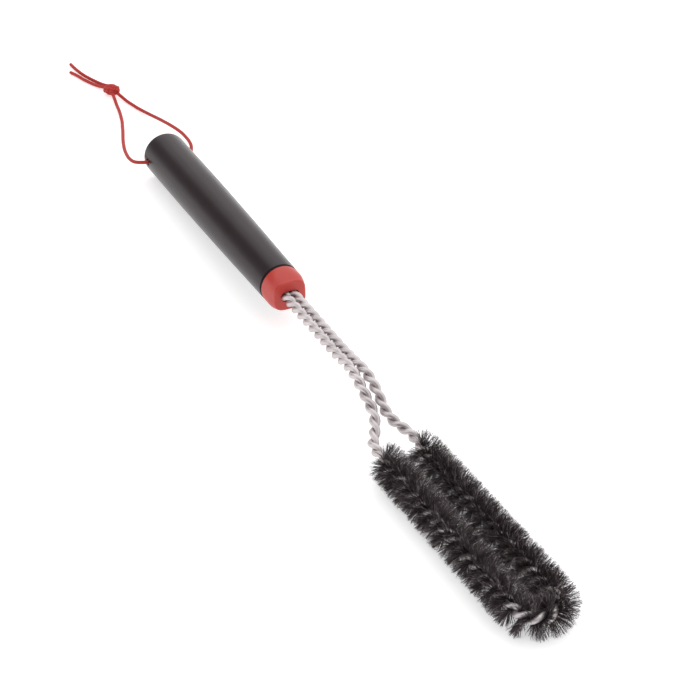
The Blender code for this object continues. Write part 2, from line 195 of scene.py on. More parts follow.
BRAID_RELIEF = 0.07
CORD_RING_SPACING = 0.32
CORD_SIDES = 20
CUT_END_SIZE = 0.86
CUT_END_GROWTH = 0.07

# The knot: half sizes of the coil that its turns follow, then of the core under them.
KNOT_CENTRE = np.array((-108.3, 5.1, 3.9))
KNOT_TURN = math.radians(45)
KNOT_HALF_TURNS = 3.1
KNOT_COIL = (4.3, 3.0, 2.4)
KNOT_COIL_DRIFT = 0.6
KNOT_NARROWING = 0.88
KNOT_COIL_SWELLING = 0.15
KNOT_CORE_REACH = 5.5
KNOT_CORE_LENGTH = 5.6
KNOT_CORE_RADIUS = 3.75
KNOT_SIDES = 18
KNOT_COIL_RINGS = 217
KNOT_CORE_RINGS = 33

# The bristles. The rope is sampled along its length, and each arm starts with a few bare samples.
# Spreads are standard deviations, in radians or as a share of the length, first for a whole tuft
# and then for one filament in it.
ROPE_SAMPLE = 0.5
BARE_SAMPLES_LEFT = 4
BARE_SAMPLES_RIGHT = 2
TUFT_SIZE = 8
TUFT_SAMPLES = 1.0
JUST_INSIDE = 0.001
ARM_TUFTS = 1250
TIP_TUFTS = 260
ARM_FAN = (0.36, 0.15)
TIP_FAN = (0.15, 0.10)
TILT_SPREAD = (0.13, 0.12)
LENGTH_SPREAD = (0.03, 0.05)
LENGTH_LIMITS = (0.7, 1.09)
MEAN_LENGTH = 0.99
FAN_LIMIT = 1.25
TILT_LIMIT = 0.9
STRAY_SHARE = 0.05
STRAY_FAN = 0.6
STRAY_TILT = 0.45
# Painted glints: the share of filaments made paler, along with every stray, to stand in for highlights.
PAINTED_GLINT_SHARE = 0.06
CURL = 0.45
FILAMENT_RADII = (0.09, 0.14)
FILAMENT_TAPER = 0.4
FILAMENT_CORNERS = 3
ROOT_DEPTH = 0.9
BELLY = 0.42
BELLY_LEAN = 0.6
LOWEST_FILAMENT = 0.15
TUFT_TINT = 0.35
OWN_TINT = 0.45
OWN_TINT_SHAPE = (1.2, 2.4)
# How much paler the painted-glint filaments and the strays are made.
PAINTED_GLINT_TINT = 0.4

# The studio, in metres.
LENS_MM = 95.1
SENSOR_MM = 36.0
CAMERA_DISTANCE = 0.950
CAMERA_ELEVATION = math.radians(35.5)
CAMERA_BEARING = math.radians(64.1)
CAMERA_AIM = Vector((0.0098, 0.0099, 0.0157))
# Each softbox: how far right, away from the camera and up it stands, its size and its watts.
SOFTBOXES = (
    ("softbox_back", (0.35, 0.9, 1.2), (2.0, 1.6), 3.6),
    ("softbox_left", (-1.2, 0.1, 0.75), (1.4, 1.0), 1.5),
)
SOFTBOX_AIM = Vector((0.0, 0.0, 0.01))
SURROUND_COLOUR = (1.0, 0.995, 0.99)
SURROUND_STRENGTH = 1.15
# Each dark patch: its direction, the cosines where it begins and where it is full, and the light
# left in it.
DARK_PATCHES = (
    ((0.707, -0.564, 0.426), 0.80, 0.96, 0.05),
    ((-0.732, -0.490, 0.475), 0.875, 0.99, 0.0),
)
FLOOR_HALF_SIDE = 6.0
FLOOR_DROP = 0.0002
FLOOR_COLOUR = (0.72, 0.72, 0.72)
FLOOR_GLOW = 0.54
WARM_REFLECTION = (1.0, 0.92, 0.935, 1.0)


# ---------------------------------------------------------------- places and curves


def world(from_butt, sideways, height):
    """A position in metres from millimetres measured from the butt."""
    return Vector(((from_butt - OVERALL_LENGTH / 2) * MM, sideways * MM, height * MM))


def radius_at(distance):
    """The radius of the handle's profile at a distance from the butt."""
    for (start, first), (end, last) in zip(HANDLE_PROFILE, HANDLE_PROFILE[1:]):
        if distance <= end:
            return first + (last - first) * (distance - start) / (end - start)
    return HANDLE_PROFILE[-1][1]


def smooth_radius(distance):
    """The handle's radius with the corners between its profile's stations eased away."""
    offsets = (-HANDLE_EASING, 0.0, HANDLE_EASING)
    near = [radius_at(min(max(distance + offset, 0.0), HANDLE_LENGTH)) for offset in offsets]
    return 0.25 * near[0] + 0.5 * near[1] + 0.25 * near[2]


BUTT_HEIGHT = radius_at(BUTT_EDGE) * math.cos(RISE) - BUTT_EDGE * math.sin(RISE)
BUTT_FORWARD = (radius_at(BUTT_EDGE) - BUTT_EDGE) * math.sin(RISE)


def axis_point(distance, sideways=0.0):
    """A point beside the handle's rising axis, in millimetres from the butt."""
    forward = BUTT_FORWARD + distance * math.cos(RISE)
    return (forward, sideways, BUTT_HEIGHT + distance * math.sin(RISE))


def place_on_axis(obj, distance=0.0):
    """Turns an object's local Z along the handle, its origin that far from the butt."""
    obj.location = world(*axis_point(distance))
    obj.rotation_euler = (0.0, math.pi / 2 - RISE, 0.0)


def lengths_along(points):
    """How far along a line of points each one lies."""
    steps = np.linalg.norm(np.diff(points, axis=0), axis=1)
    return np.concatenate([[0.0], np.cumsum(steps)])


def smooth_route(route, spacing):
    """Evenly spaced points, as an array in millimetres, on a smooth curve through a route."""
    steps = 40
    points = np.array(route, float)
    ends = np.vstack([2 * points[0] - points[1], points, 2 * points[-1] - points[-2]])
    t = (np.arange(steps) / steps)[:, None]
    runs = []
    for p0, p1, p2, p3 in zip(ends, ends[1:], ends[2:], ends[3:]):
        runs.append(0.5 * (2 * p1 + (p2 - p0) * t + (2 * p0 - 5 * p1 + 4 * p2 - p3) * t**2
                           + (3 * p1 - p0 - 3 * p2 + p3) * t**3))
    fine = np.vstack(runs + [points[-1:]])
    along = lengths_along(fine)
    wanted = np.linspace(0.0, along[-1], max(2, round(along[-1] / spacing) + 1))
    return np.stack([np.interp(wanted, along, fine[:, axis]) for axis in range(3)], axis=1)


def in_head(from_butt, sideways, height):
    """Where the bend of the slightly crooked head takes a point of the straight brush."""
    share = (from_butt - HEAD_BEND_START) / (HEAD_BEND_END - HEAD_BEND_START)
    yaw = HEAD_YAW * min(max(share, 0.0), 1.0)
    ahead = from_butt - HEAD_PIVOT
    return (
        HEAD_PIVOT + ahead * math.cos(yaw) - sideways * math.sin(yaw),
        ahead * math.sin(yaw) + sideways * math.cos(yaw),
        height,
    )


def rope_route():
    """The rope's route: out along the left arm, round the hairpin and back on the right."""
    straight = int((NECK_ROUTE[0][0] - WIRE_START) / ROPE_STEP)
    half = [axis_point(WIRE_START + index * ROPE_STEP, ROPE_SPACING / 2) for index in range(straight)]
    half += NECK_ROUTE
    start = NECK_ROUTE[-1][0]
    steps = int((TIP_CENTRE - start) / ROPE_STEP)
    for index in range(1, steps + 1):
        half.append((start + (TIP_CENTRE - start) * index / steps, ARM_OFFSET, ARM_HEIGHT))
    bend = [
        (TIP_CENTRE + ARM_OFFSET * math.cos(turn), ARM_OFFSET * math.sin(turn), ARM_HEIGHT)
        for turn in map(math.radians, range(HAIRPIN_STEP_DEGREES - 90, 90, HAIRPIN_STEP_DEGREES))
    ]
    return [in_head(*point) for point in [(x, -y, z) for x, y, z in half] + bend + half[::-1]]


def rope_line(spacing):
    """(points, turns) along the rope: its centre line, and how far the twist has turned there."""
    points = smooth_route(rope_route(), spacing)
    step = float(np.linalg.norm(points[1] - points[0]))
    return points, TWIST_START + 2 * np.pi * step * np.arange(len(points)) / TWIST_PITCH


def frames_along(points):
    """(forward, side, up) unit vectors at each point of a curve that never runs straight up."""
    forward = np.gradient(points, axis=0)
    forward /= np.linalg.norm(forward, axis=1)[:, None]
    side = np.cross(forward, (0.0, 0.0, 1.0))
    side /= np.linalg.norm(side, axis=1)[:, None]
    return forward, side, np.cross(side, forward)


# ---------------------------------------------------------------- meshes


def link(name, data):
    """A new object of a mesh, light or camera, in the scene."""
    obj = bpy.data.objects.new(name, data)
    bpy.context.scene.collection.objects.link(obj)
    return obj


def from_bmesh(name, build, material=None):
    """An object in the scene from a bmesh, which is freed."""
    bmesh.ops.recalc_face_normals(build, faces=build.faces)
    mesh = bpy.data.meshes.new(name)
    build.to_mesh(mesh)
    build.free()
    if material is not None:
        mesh.materials.append(material)
    return link(name, mesh)


def mesh_object(name, points_mm, faces, material, uv=None, smooth=True, values=None):
    """An object from points in millimetres from the butt. uv gives one pair for each point, and
    values gives named lists of one number for each point."""
    points = np.array(points_mm, np.float64) * MM
    points[:, 0] -= OVERALL_LENGTH / 2 * MM
    mesh = bpy.data.meshes.new(name)
    mesh.from_pydata(points.tolist(), [], faces)
    if uv is not None:
        layer = mesh.uv_layers.new(name="weave")
        corners = np.empty(len(mesh.loops), np.int32)
        mesh.loops.foreach_get("vertex_index", corners)
        layer.data.foreach_set("uv", np.asarray(uv, np.float32)[corners].ravel())
    for label, numbers in (values or {}).items():
        attribute = mesh.attributes.new(label, "FLOAT", "POINT")
        attribute.data.foreach_set("value", np.asarray(numbers, np.float32))
    mesh.materials.append(material)
    if smooth:
        mesh.shade_smooth()
    return link(name, mesh)


def tube(points, radii, sides):
    """(points, faces, uv) of a capped tube. radii is one number or an array rings by sides."""
    _, side, up = frames_along(points)
    turn = 2 * np.pi * np.arange(sides) / sides
    around = np.cos(turn)[None, :, None] * side[:, None] + np.sin(turn)[None, :, None] * up[:, None]
    radii = np.broadcast_to(np.asarray(radii, float), (len(points), sides))
    rings = points[:, None] + radii[..., None] * around
    index = np.arange(len(points) * sides).reshape(len(points), sides)
    following = np.roll(index, -1, axis=1)
    faces = np.stack([index[:-1], index[1:], following[1:], following[:-1]], axis=-1)
    faces = [tuple(face) for face in faces.reshape(-1, 4).tolist()]
    faces.append(tuple(index[0].tolist()))
    faces.append(tuple(index[-1][::-1].tolist()))
    along = lengths_along(points)
    uv = np.stack(np.broadcast_arrays(along[:, None], turn[None, :] / (2 * np.pi)), axis=-1)
    return rings.reshape(-1, 3), faces, uv.reshape(-1, 2)


def turned(name, outline, material, steps):
    """A turned solid about local Z from a profile of (radius, height) in millimetres."""
    weld_distance = 0.000002
    build = bmesh.new()
    points = [build.verts.new((radius * MM, 0.0, height * MM)) for radius, height in outline]
    for first, second in zip(points, points[1:]):
        if first.co.x > 0.0 or second.co.x > 0.0:
            build.edges.new((first, second))
    bmesh.ops.spin(build, geom=build.verts[:] + build.edges[:], axis=(0, 0, 1), cent=(0, 0, 0),
                   steps=steps, angle=2 * math.pi, use_merge=False)
    bmesh.ops.remove_doubles(build, verts=build.verts, dist=weld_distance)
    obj = from_bmesh(name, build, material)
    obj.data.shade_smooth()
    obj.data.set_sharp_from_angle(angle=SHARP_ANGLE)
    return obj


def apply_cut(obj, cutter):
    """Cuts one solid out of another and removes the cutter."""
    modifier = obj.modifiers.new("cut", "BOOLEAN")
    modifier.operation = "DIFFERENCE"
    modifier.object = cutter
    modifier.solver = "EXACT"
    bpy.context.view_layer.update()
    graph = bpy.context.evaluated_depsgraph_get()
    made = bpy.data.meshes.new_from_object(obj.evaluated_get(graph))
    obj.modifiers.clear()
    obj.data = made
    bpy.data.objects.remove(cutter, do_unlink=True)
    made.shade_smooth()
    made.set_sharp_from_angle(angle=SHARP_ANGLE)


def obround_cutter(spacing, radius, length):
    """A bar along local Z whose section is two half circles, spacing apart along Y."""
    corners = 25
    build = bmesh.new()
    outline = []
    for side in (1, -1):
        for step in range(corners):
            turn = math.pi * step / (corners - 1) + (0.0 if side > 0 else math.pi)
            x = radius * math.cos(turn)
            y = radius * math.sin(turn) + side * spacing / 2
            outline.append(build.verts.new((x * MM, y * MM, -length / 2 * MM)))
    face = build.faces.new(outline)
    raised = bmesh.ops.extrude_face_region(build, geom=[face])["geom"]
    points = [item for item in raised if isinstance(item, bmesh.types.BMVert)]
    bmesh.ops.translate(build, vec=(0.0, 0.0, length * MM), verts=points)
    return from_bmesh("slot_cutter", build)


# ---------------------------------------------------------------- materials


def new_material(name, colour, roughness, metallic=0.0, specular=0.5):
    """A Principled material, its shader and its node tree."""
    made = bpy.data.materials.new(name)
    made.use_nodes = True
    shader = made.node_tree.nodes["Principled BSDF"]
    shader.inputs["Base Color"].default_value = (*colour, 1.0)
    shader.inputs["Roughness"].default_value = roughness
    shader.inputs["Metallic"].default_value = metallic
    shader.inputs["Specular IOR Level"].default_value = specular
    shader.inputs["Specular Tint"].default_value = WARM_REFLECTION
    return made, shader, made.node_tree


def noise(tree, scale, detail=3.0, stretch=(1.0, 1.0, 1.0)):
    """Noise over the object, in features per metre, drawn out along an axis by a small factor."""
    place = tree.nodes.new("ShaderNodeTexCoord")
    mapping = tree.nodes.new("ShaderNodeMapping")
    mapping.inputs["Scale"].default_value = stretch
    texture = tree.nodes.new("ShaderNodeTexNoise")
    texture.inputs["Scale"].default_value = scale
    texture.inputs["Detail"].default_value = detail
    tree.links.new(place.outputs["Object"], mapping.inputs["Vector"])
    tree.links.new(mapping.outputs["Vector"], texture.inputs["Vector"])
    return texture.outputs["Fac"]


def ramp(tree, value, stops):
    """A colour ramp over a value. stops lists (position, colour)."""
    node = tree.nodes.new("ShaderNodeValToRGB")
    elements = node.color_ramp.elements
    while len(elements) < len(stops):
        elements.new(0.5)
    for element, (position, colour) in zip(elements, stops):
        element.position = position
        element.color = (*colour, 1.0)
    tree.links.new(value, node.inputs["Fac"])
    return node.outputs["Color"]


def spread(tree, value, low, high):
    """The value, from 0 to 1, mapped to a range."""
    node = tree.nodes.new("ShaderNodeMapRange")
    node.inputs["To Min"].default_value = low
    node.inputs["To Max"].default_value = high
    tree.links.new(value, node.inputs["Value"])
    return node.outputs["Result"]


def bump(tree, shader, height, strength, distance):
    """Relief from a height, up to a distance in metres."""
    node = tree.nodes.new("ShaderNodeBump")
    node.inputs["Strength"].default_value = strength
    node.inputs["Distance"].default_value = distance
    tree.links.new(height, node.inputs["Height"])
    tree.links.new(node.outputs["Normal"], shader.inputs["Normal"])


def math_node(tree, operation, *values):
    """A Math node whose inputs are links or numbers."""
    node = tree.nodes.new("ShaderNodeMath")
    node.operation = operation
    for socket, value in zip(node.inputs, values):
        if isinstance(value, (int, float)):
            socket.default_value = value
        else:
            tree.links.new(value, socket)
    return node.outputs["Value"]


def mottled(name, light, dark, roughness, mottling, gloss, **shading):
    """A material whose colour drifts between two shades and whose gloss is a little uneven.
    mottling gives the drift's scale and where each shade begins, and gloss gives the gloss
    pattern's scale and how far the roughness falls and rises."""
    made, shader, tree = new_material(name, light, roughness, **shading)
    colour_scale, dark_end, light_start = mottling
    gloss_scale, smoother, rougher = gloss
    drift = noise(tree, colour_scale, 4.0)
    colours = ((dark_end, dark), (light_start, light))
    tree.links.new(ramp(tree, drift, colours), shader.inputs["Base Color"])
    uneven = spread(tree, noise(tree, gloss_scale), roughness - smoother, roughness + rougher)
    tree.links.new(uneven, shader.inputs["Roughness"])
    return made, shader, tree


def plastic(name, light, dark, roughness, grain, specular):
    """Moulded plastic: a fine spark-eroded grain, faint cloudiness and a slightly uneven gloss."""
    made, shader, tree = mottled(name, light, dark, roughness, (60.0, 0.3, 0.7), (400.0, 0.05, 0.06),
                                 specular=specular)
    bump(tree, shader, noise(tree, grain, 2.0), 0.02, 0.0001)
    return made


def steel(name, light, dark, roughness):
    """Drawn steel: soft satin with fine lengthwise draw marks and faint darker heat stains."""
    made, shader, tree = mottled(name, light, dark, roughness, (130.0, 0.35, 0.65), (900.0, 0.06, 0.1),
                                 metallic=1.0)
    bump(tree, shader, noise(tree, 2600.0, 2.0, (0.15, 1.0, 1.0)), 0.08, 0.0001)
    return made


def attribute(tree, name):
    """A number that each point of the mesh carries."""
    node = tree.nodes.new("ShaderNodeAttribute")
    node.attribute_name = name
    return node.outputs["Fac"]


def bristle_material():
    """Black nylon filament, darker towards its root as painted shade deep in the tufts and paler towards
    its tip, each filament a shade of its own.
    """
    made, shader, tree = new_material("bristle_nylon", (0.03, 0.025, 0.026), 0.45)
    # Painted shade: the colour darkens towards each filament's root, deep inside the tufts, and lightens
    # towards its tip.
    painted_lightness = spread(tree, attribute(tree, "reach"), 0.4, 1.0)
    shade = math_node(tree, "MULTIPLY", painted_lightness, attribute(tree, "tint"))
    clumps = math_node(tree, "MULTIPLY", noise(tree, 500.0, 2.0), 0.25)
    shade = math_node(tree, "ADD", shade, clumps)
    colours = (
        (0.0, (0.023, 0.0155, 0.0175)),
        (0.5, (0.046, 0.033, 0.036)),
        (1.0, (0.56, 0.49, 0.50)),
    )
    tree.links.new(ramp(tree, shade, colours), shader.inputs["Base Color"])
    tree.links.new(spread(tree, attribute(tree, "tint"), 0.35, 0.6), shader.inputs["Roughness"])
    return made


def cord_material():
    """Red polyester braid: two sets of strands crossing round the cord, a shade apart."""
    made, shader, tree = new_material("cord_braid", (0.42, 0.055, 0.045), 0.72, specular=0.3)
    shader.inputs["Sheen Weight"].default_value = 0.06
    shader.inputs["Sheen Roughness"].default_value = 0.5
    uv = tree.nodes.new("ShaderNodeUVMap")
    uv.uv_map = "weave"
    parts = tree.nodes.new("ShaderNodeSeparateXYZ")
    tree.links.new(uv.outputs["UV"], parts.inputs["Vector"])
    along = math_node(tree, "MULTIPLY", parts.outputs["X"], 2 * math.pi / BRAID_PITCH)
    around = math_node(tree, "MULTIPLY", parts.outputs["Y"], 2 * math.pi * BRAID_STRANDS)
    first = math_node(tree, "SINE", math_node(tree, "ADD", along, around))
    second = math_node(tree, "SINE", math_node(tree, "SUBTRACT", along, around))
    crossing = math_node(tree, "MULTIPLY", first, second)
    weave = math_node(tree, "MULTIPLY_ADD", crossing, 0.5, 0.5)
    colours = (
        (0.1, (0.32, 0.018, 0.015)),
        (0.5, (0.44, 0.033, 0.027)),
        (0.95, (0.52, 0.053, 0.043)),
    )
    tree.links.new(ramp(tree, weave, colours), shader.inputs["Base Color"])
    bump(tree, shader, noise(tree, 3500.0, 2.0), 0.4, 0.0001)
    return made


# ---------------------------------------------------------------- the cord


def keep(piece, slot_name, *nodes):
    """Makes a piece ride with the brush and stand for its CAD nodes, which it hides."""
    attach(piece, BODY)
    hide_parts(*nodes)


def braided_tube(route):
    """A tube along a route with the low relief of a braid pressed into its surface, and the
    points of its middle line."""
    points = smooth_route(route, CORD_RING_SPACING)
    along = np.arange(len(points))[:, None] * CORD_RING_SPACING * 2 * np.pi / BRAID_PITCH
    around = 2 * np.pi * BRAID_STRANDS * (np.arange(CORD_SIDES) / CORD_SIDES)[None, :]
    weave = np.sin(along + around) * np.sin(along - around)
    radii = CORD_DIAMETER / 2 - BRAID_RELIEF / 2 + BRAID_RELIEF * weave / 2
    ends = np.minimum(np.arange(len(points)), np.arange(len(points))[::-1])[:, None]
    radii = radii * np.minimum(1.0, CUT_END_SIZE + CUT_END_GROWTH * ends)
    return tube(points, radii, CORD_SIDES), points


def make_cords():
    """The two halves of the cord, each from the cross hole through the knot to its cut end."""
    material = cord_material()
    knot = make_knot(material)
    for name, route, side, nodes in (
        ("hanging_cord_left", LEFT_CORD_ROUTE, -1, ("cord_left", "cord_tail_left")),
        ("hanging_cord_right", RIGHT_CORD_ROUTE, 1, ("cord_right", "cord_tail_right")),
    ):
        (points, faces, uv), path = braided_tube(route)
        piece = mesh_object(name, points, faces, material, uv)
        keep(piece, "cord", *nodes)


def make_knot(material):
    """The knot: both sides of the cord wound round themselves and pulled tight into a ball."""
    share = np.linspace(-1.0, 1.0, KNOT_COIL_RINGS)
    turn = share * KNOT_HALF_TURNS * np.pi
    swell = np.sqrt(1.0 - KNOT_NARROWING * share**2)
    half_length, half_width, half_height = KNOT_COIL
    coil = np.stack([half_length * share + KNOT_COIL_DRIFT * np.sin(turn),
                     half_width * swell * np.cos(turn),
                     half_height * swell * np.sin(turn)], axis=1)
    points, faces, uv = tube(coil, CORD_DIAMETER / 2 + KNOT_COIL_SWELLING, KNOT_SIDES)
    core = np.zeros((KNOT_CORE_RINGS, 3))
    core[:, 0] = np.linspace(-KNOT_CORE_REACH, KNOT_CORE_REACH, KNOT_CORE_RINGS)
    core_radii = KNOT_CORE_RADIUS * np.sqrt(1.0 - (core[:, 0] / KNOT_CORE_LENGTH) ** 2)
    core_radii = core_radii[:, None] * np.ones((1, KNOT_SIDES))
    core_points, core_faces, core_uv = tube(core, core_radii, KNOT_SIDES)
    faces += [tuple(index + len(points) for index in face) for face in core_faces]
    cosine, sine = math.cos(KNOT_TURN), math.sin(KNOT_TURN)
    rotation = np.array([[cosine, sine, 0.0], [-sine, cosine, 0.0], [0.0, 0.0, 1.0]])
    points = np.vstack([points, core_points]) @ rotation + KNOT_CENTRE
    knot = mesh_object("cord_knot_ball", points, faces, material, np.vstack([uv, core_uv]))
    keep(knot, "cord", "cord_knot")
    return knot


# ---------------------------------------------------------------- the handle


def make_handle(material):
    """The handle's shell: a smooth taper, a rounded butt and the cross hole."""
    edge_steps = 12
    stations = list(range(HANDLE_STATION, int(HANDLE_LENGTH), HANDLE_STATION))
    front = radius_at(HANDLE_LENGTH)
    outline = [
        (front - HANDLE_WALL, HANDLE_LENGTH),
        (front - RIM, HANDLE_LENGTH),
        (front, HANDLE_LENGTH - RIM),
    ]
    outline += [(smooth_radius(distance), distance) for distance in reversed(stations)]
    centre = radius_at(BUTT_EDGE) - BUTT_EDGE
    for step in range(edge_steps + 1):
        turn = math.pi / 2 * step / edge_steps
        outline.append((centre + BUTT_EDGE * math.cos(turn), BUTT_EDGE - BUTT_EDGE * math.sin(turn)))
    outline.append((0.0, 0.0))
    inside = [(0.0, BUTT_WALL)]
    for distance in [BUTT_WALL] + stations:
        inside.append((smooth_radius(distance) - HANDLE_WALL, distance))
    inside.append(outline[0])
    shell = turned("handle_casing", outline + inside, material, 128)
    place_on_axis(shell)
    bar = [(0.0, HOLE_CUT), (HOLE_RADIUS, HOLE_CUT), (HOLE_RADIUS, -HOLE_CUT), (0.0, -HOLE_CUT)]
    hole = turned("hole_cutter", bar, material, 48)
    hole.location = world(*axis_point(HOLE_FROM_BUTT))
    hole.rotation_euler = (math.pi / 2, 0.0, 0.0)
    apply_cut(shell, hole)
    keep(shell, "handle", "handle_shell")


def collar_stations(back):
    """(half width, half height, squareness, distance) of each section of the collar."""
    body = COLLAR_LENGTH - COLLAR_EDGE - RIM
    front = back + COLLAR_LENGTH - COLLAR_EDGE
    stations = [(COLLAR_BACK_RADIUS - RIM, COLLAR_BACK_RADIUS - RIM, COLLAR_ROUNDNESS, back)]
    for step in range(COLLAR_STATIONS + 1):
        share = step / COLLAR_STATIONS
        taper = share**COLLAR_TAPER_POWER
        width = COLLAR_BACK_RADIUS + (COLLAR_FRONT_HALF_WIDTH - COLLAR_BACK_RADIUS) * taper
        high = COLLAR_BACK_RADIUS + (COLLAR_FRONT_HALF_HEIGHT - COLLAR_BACK_RADIUS) * taper
        ease = share * share * (3 - 2 * share)
        square = COLLAR_ROUNDNESS + (COLLAR_FRONT_SQUARENESS - COLLAR_ROUNDNESS) * ease
        stations.append((width, high, square, back + RIM + body * share))
    for step in range(1, COLLAR_EDGE_STEPS + 1):
        turn = math.pi / 2 * step / COLLAR_EDGE_STEPS
        inset = COLLAR_EDGE * (1 - math.cos(turn))
        stations.append((COLLAR_FRONT_HALF_WIDTH - inset, COLLAR_FRONT_HALF_HEIGHT - inset,
                         COLLAR_FRONT_SQUARENESS, front + COLLAR_EDGE * math.sin(turn)))
    return stations


def make_collar(material):
    """The red collar, from round at the flange to a squarer nose with a soft rim and a slot."""
    sides = 128
    back = HANDLE_LENGTH + FLANGE_THICKNESS + 2 * GAP
    build = bmesh.new()
    rings = []
    for width, high, square, height in collar_stations(back):
        ring = []
        for step in range(sides):
            turn = 2 * math.pi * step / sides
            across = math.copysign(abs(math.sin(turn)) ** (2 / square), math.sin(turn))
            upward = math.copysign(abs(math.cos(turn)) ** (2 / square), math.cos(turn))
            ring.append(build.verts.new((-high * upward * MM, width * across * MM, height * MM)))
        rings.append(ring)
    for lower, upper in zip(rings, rings[1:]):
        for index in range(sides):
            following = (index + 1) % sides
            build.faces.new((lower[index], lower[following], upper[following], upper[index]))
    build.faces.new(list(reversed(rings[0])))
    build.faces.new(rings[-1])
    collar = from_bmesh("collar_body", build, material)
    place_on_axis(collar)
    slot_cutter = obround_cutter(SLOT_SPACING, SLOT_RADIUS, 2 * COLLAR_LENGTH)
    place_on_axis(slot_cutter, back + COLLAR_LENGTH / 2)
    apply_cut(collar, slot_cutter)
    keep(collar, "collar", "collar")


def finish_cad_nodes(black, bright):
    """The core and the crimp band keep their CAD shape and get finished materials."""
    for node, material in (("stem_core", black), ("crimp_band", bright)):
        obj = frame["nodes"][node]
        for slot in obj.material_slots:
            slot.material = material
        if not obj.material_slots:
            obj.data.materials.append(material)


# ---------------------------------------------------------------- wires and bristles


def make_wires(material):
    """Steel wires, each one smooth helix from the handle round the bend and back."""
    centre_line, turns = rope_line(TWIST_PITCH / RINGS_PER_TURN)
    _, side, up = frames_along(centre_line)
    for index in range(WIRE_COUNT):
        turn = turns + 2 * np.pi * index / WIRE_COUNT
        points = centre_line + TWIST_RADIUS * (np.cos(turn)[:, None] * side + np.sin(turn)[:, None] * up)
        tube_points, faces, uv = tube(points, WIRE_RADIUS, WIRE_SIDES)
        wire = mesh_object(f"twisted_wire_{index + 1}", tube_points, faces, material, uv)
        keep(wire, "wire", f"stem_wire_{index + 1}")


def make_bristles(material):
    """The filaments, pinched between the two wires and fanned out by the twist."""
    centre_line, turns = rope_line(ROPE_SAMPLE)
    bristly = centre_line[:, 0] >= BRISTLE_START
    first = int(np.argmax(bristly)) + BARE_SAMPLES_LEFT
    last = len(centre_line) - int(np.argmax(bristly[::-1])) - BARE_SAMPLES_RIGHT
    left_end = int(np.argmax(centre_line[:, 0] >= TIP_CENTRE))
    right_start = len(centre_line) - int(np.argmax(centre_line[::-1, 0] >= TIP_CENTRE))
    stretches = (
        ("left", first, left_end, ARM_TUFTS, ARM_FAN),
        ("tip", left_end, right_start, TIP_TUFTS, TIP_FAN),
        ("right", right_start, last, ARM_TUFTS, ARM_FAN),
    )
    for number, (label, start, end, tufts, fan_spread) in enumerate(stretches):
        rng = np.random.default_rng(SEED + number)
        points, faces, values = filaments(rng, centre_line, turns, start, end, tufts, fan_spread)
        piece = mesh_object(f"bristle_filaments_{label}", points, faces, material, smooth=False,
                            values=values)
        keep(piece, "bristle", f"bristles_{label}")


def filaments(rng, centre_line, turns, start, end, tufts, fan_spread):
    """(points, faces, values) of the filaments between two samples of the rope, in tufts that
    leave it between its wires. A few filaments stray from their tuft."""
    count = tufts * TUFT_SIZE
    tuft = np.repeat(np.arange(tufts), TUFT_SIZE)

    def shared(tuft_spread, own_spread):
        """One number for each filament: most of it common to the tuft, the rest its own."""
        return rng.normal(0.0, tuft_spread, tufts)[tuft] + rng.normal(0.0, own_spread, count)

    stray = rng.random(count) < STRAY_SHARE
    last = end - 1
    where = rng.uniform(start, last, tufts)[tuft] + rng.normal(0.0, TUFT_SAMPLES, count)
    where = np.clip(where, start, last - JUST_INSIDE)
    index = where.astype(int)
    share = (where - index)[:, None]
    root = centre_line[index] * (1 - share) + centre_line[index + 1] * share
    forward, side, up = (axis[index] for axis in frames_along(centre_line))
    opposite = np.pi * rng.integers(0, 2, tufts)[tuft]
    turn = (turns[index] + (turns[1] - turns[0]) * share[:, 0] + np.pi / 2 + opposite)[:, None]
    pinched = np.cos(turn) * side + np.sin(turn) * up
    across = -np.sin(turn) * side + np.cos(turn) * up
    fan = shared(*fan_spread) + stray * rng.normal(0.0, STRAY_FAN, count)
    fan = np.clip(fan, -FAN_LIMIT, FAN_LIMIT)[:, None]
    tilt = shared(*TILT_SPREAD) + stray * rng.normal(0.0, STRAY_TILT, count)
    tilt = np.clip(tilt, -TILT_LIMIT, TILT_LIMIT)[:, None]
    heading = (pinched * np.cos(fan) + across * np.sin(fan)) * np.cos(tilt) + forward * np.sin(tilt)
    length = BRISTLE_RADIUS * np.clip(MEAN_LENGTH + shared(*LENGTH_SPREAD), *LENGTH_LIMITS)[:, None]
    curl = rng.normal(0.0, CURL, (count, 1)) * across + rng.normal(0.0, CURL, (count, 1)) * forward
    width = rng.uniform(*FILAMENT_RADII, count)[:, None]
    # Painted glints: strays and a few other filaments are made paler to stand in for highlights.
    painted_lightness = rng.random(count) < PAINTED_GLINT_SHARE
    tint = TUFT_TINT * rng.random(tufts)[tuft] + OWN_TINT * rng.beta(*OWN_TINT_SHAPE, count)
    tint = np.clip(tint + PAINTED_GLINT_TINT * (stray | painted_lightness), 0.0, 1.0)
    middle = root + (BELLY_LEAN * heading + (1.0 - BELLY_LEAN) * pinched) * length * BELLY
    centres = (root + pinched * ROOT_DEPTH, middle, root + heading * length + curl)
    return thin_prisms(centres, across, forward, width, tint)


